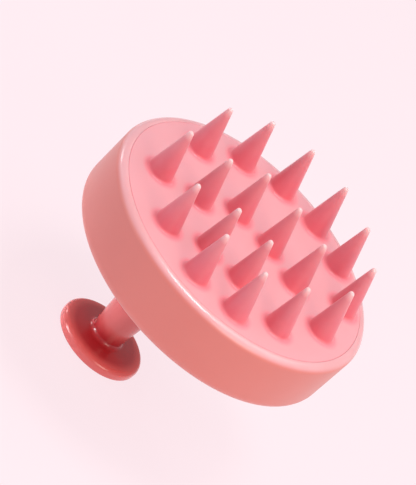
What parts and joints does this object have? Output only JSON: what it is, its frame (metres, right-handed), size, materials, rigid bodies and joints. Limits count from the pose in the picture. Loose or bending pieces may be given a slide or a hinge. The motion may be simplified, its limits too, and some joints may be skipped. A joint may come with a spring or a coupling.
{
  "type": "scalp massager brush",
  "caption": "Round scalp massager brush: a hollow drum with flexible cone bristles on its face, and a stem with a flat knob behind it to hold between the fingers.",
  "frame": {"origin": "on the drum's axis, at the height of the knob's foot", "axes": "+Z from the knob towards the bristle tips, the way the brush stands on its knob; -X from the drum's axis towards the handle's, which is also the way the bristles lean"},
  "size_m": [0.0768, 0.0768, 0.0632],
  "materials": {
    "drum": "satin coral-pink moulded plastic with a soft-touch skin",
    "pad": "smooth pale pink silicone",
    "bristle": "translucent rose silicone, paler at the tips",
    "handle": "glossy dark red moulded plastic, paler towards the drum",
    "carrier": "plain off-white moulded plastic",
    "steel": "zinc-plated steel"
  },
  "bodies": {
    "brush": {"drum_shell": "drum", "bristle_pad": "pad", "pad_carrier": "carrier", "handle": "handle", "handle_washer": "steel", "handle_screw": "steel", "carrier_screw_1": "steel", "carrier_screw_2": "steel", "carrier_screw_3": "steel", "carrier_screw_4": "steel"},
    "bristle_01": {"bristle_01": "bristle"},
    "bristle_02": {"bristle_02": "bristle"},
    "bristle_03": {"bristle_03": "bristle"},
    "bristle_04": {"bristle_04": "bristle"},
    "bristle_05": {"bristle_05": "bristle"},
    "bristle_06": {"bristle_06": "bristle"},
    "bristle_07": {"bristle_07": "bristle"},
    "bristle_08": {"bristle_08": "bristle"},
    "bristle_09": {"bristle_09": "bristle"},
    "bristle_10": {"bristle_10": "bristle"},
    "bristle_11": {"bristle_11": "bristle"},
    "bristle_12": {"bristle_12": "bristle"},
    "bristle_13": {"bristle_13": "bristle"},
    "bristle_14": {"bristle_14": "bristle"},
    "bristle_15": {"bristle_15": "bristle"},
    "bristle_16": {"bristle_16": "bristle"},
    "bristle_17": {"bristle_17": "bristle"},
    "bristle_18": {"bristle_18": "bristle"}
  },
  "joints": [
    {"name": "bristle_01_flex", "type": "hinge", "parent": "brush", "child": "bristle_01", "pos_m": [-0.02381, 0.01488, 0.0493], "axis": [0, 1, 0], "range_deg": [-18, 18], "stiffness_Nm_per_rad": 0.013},
    {"name": "bristle_02_flex", "type": "hinge", "parent": "brush", "child": "bristle_02", "pos_m": [-0.01452, 0.02566, 0.0493], "axis": [0, 1, 0], "range_deg": [-18, 18], "stiffness_Nm_per_rad": 0.013},
    {"name": "bristle_03_flex", "type": "hinge", "parent": "brush", "child": "bristle_03", "pos_m": [-0.00295, 0.03059, 0.0493], "axis": [0, 1, 0], "range_deg": [-18, 18], "stiffness_Nm_per_rad": 0.013},
    {"name": "bristle_04_flex", "type": "hinge", "parent": "brush", "child": "bristle_04", "pos_m": [0.00912, 0.02984, 0.0493], "axis": [0, 1, 0], "range_deg": [-18, 18], "stiffness_Nm_per_rad": 0.013},
    {"name": "bristle_05_flex", "type": "hinge", "parent": "brush", "child": "bristle_05", "pos_m": [0.01985, 0.02407, 0.0493], "axis": [0, 1, 0], "range_deg": [-18, 18], "stiffness_Nm_per_rad": 0.013},
    {"name": "bristle_06_flex", "type": "hinge", "parent": "brush", "child": "bristle_06", "pos_m": [0.02793, 0.01244, 0.0493], "axis": [0, 1, 0], "range_deg": [-18, 18], "stiffness_Nm_per_rad": 0.013},
    {"name": "bristle_07_flex", "type": "hinge", "parent": "brush", "child": "bristle_07", "pos_m": [0.02818, -0.00346, 0.0493], "axis": [0, 1, 0], "range_deg": [-18, 18], "stiffness_Nm_per_rad": 0.013},
    {"name": "bristle_08_flex", "type": "hinge", "parent": "brush", "child": "bristle_08", "pos_m": [0.02025, -0.0176, 0.0493], "axis": [0, 1, 0], "range_deg": [-18, 18], "stiffness_Nm_per_rad": 0.013},
    {"name": "bristle_09_flex", "type": "hinge", "parent": "brush", "child": "bristle_09", "pos_m": [0.01057, -0.02753, 0.0493], "axis": [0, 1, 0], "range_deg": [-18, 18], "stiffness_Nm_per_rad": 0.013},
    {"name": "bristle_10_flex", "type": "hinge", "parent": "brush", "child": "bristle_10", "pos_m": [-0.00225, -0.02862, 0.0493], "axis": [0, 1, 0], "range_deg": [-18, 18], "stiffness_Nm_per_rad": 0.013},
    {"name": "bristle_11_flex", "type": "hinge", "parent": "brush", "child": "bristle_11", "pos_m": [-0.01567, -0.02197, 0.0493], "axis": [0, 1, 0], "range_deg": [-18, 18], "stiffness_Nm_per_rad": 0.013},
    {"name": "bristle_12_flex", "type": "hinge", "parent": "brush", "child": "bristle_12", "pos_m": [-0.02607, -0.00698, 0.0493], "axis": [0, 1, 0], "range_deg": [-18, 18], "stiffness_Nm_per_rad": 0.013},
    {"name": "bristle_13_flex", "type": "hinge", "parent": "brush", "child": "bristle_13", "pos_m": [-0.01481, -0.00221, 0.0493], "axis": [0, 1, 0], "range_deg": [-18, 18], "stiffness_Nm_per_rad": 0.013},
    {"name": "bristle_14_flex", "type": "hinge", "parent": "brush", "child": "bristle_14", "pos_m": [-0.00601, 0.00656, 0.0493], "axis": [0, 1, 0], "range_deg": [-18, 18], "stiffness_Nm_per_rad": 0.013},
    {"name": "bristle_15_flex", "type": "hinge", "parent": "brush", "child": "bristle_15", "pos_m": [0.00511, 0.00609, 0.0493], "axis": [0, 1, 0], "range_deg": [-18, 18], "stiffness_Nm_per_rad": 0.013},
    {"name": "bristle_16_flex", "type": "hinge", "parent": "brush", "child": "bristle_16", "pos_m": [0.01554, 0.0026, 0.0493], "axis": [0, 1, 0], "range_deg": [-18, 18], "stiffness_Nm_per_rad": 0.013},
    {"name": "bristle_17_flex", "type": "hinge", "parent": "brush", "child": "bristle_17", "pos_m": [0.00595, -0.0151, 0.0493], "axis": [0, 1, 0], "range_deg": [-18, 18], "stiffness_Nm_per_rad": 0.013},
    {"name": "bristle_18_flex", "type": "hinge", "parent": "brush", "child": "bristle_18", "pos_m": [-0.00479, -0.01566, 0.0493], "axis": [0, 1, 0], "range_deg": [-18, 18], "stiffness_Nm_per_rad": 0.013}
  ]
}
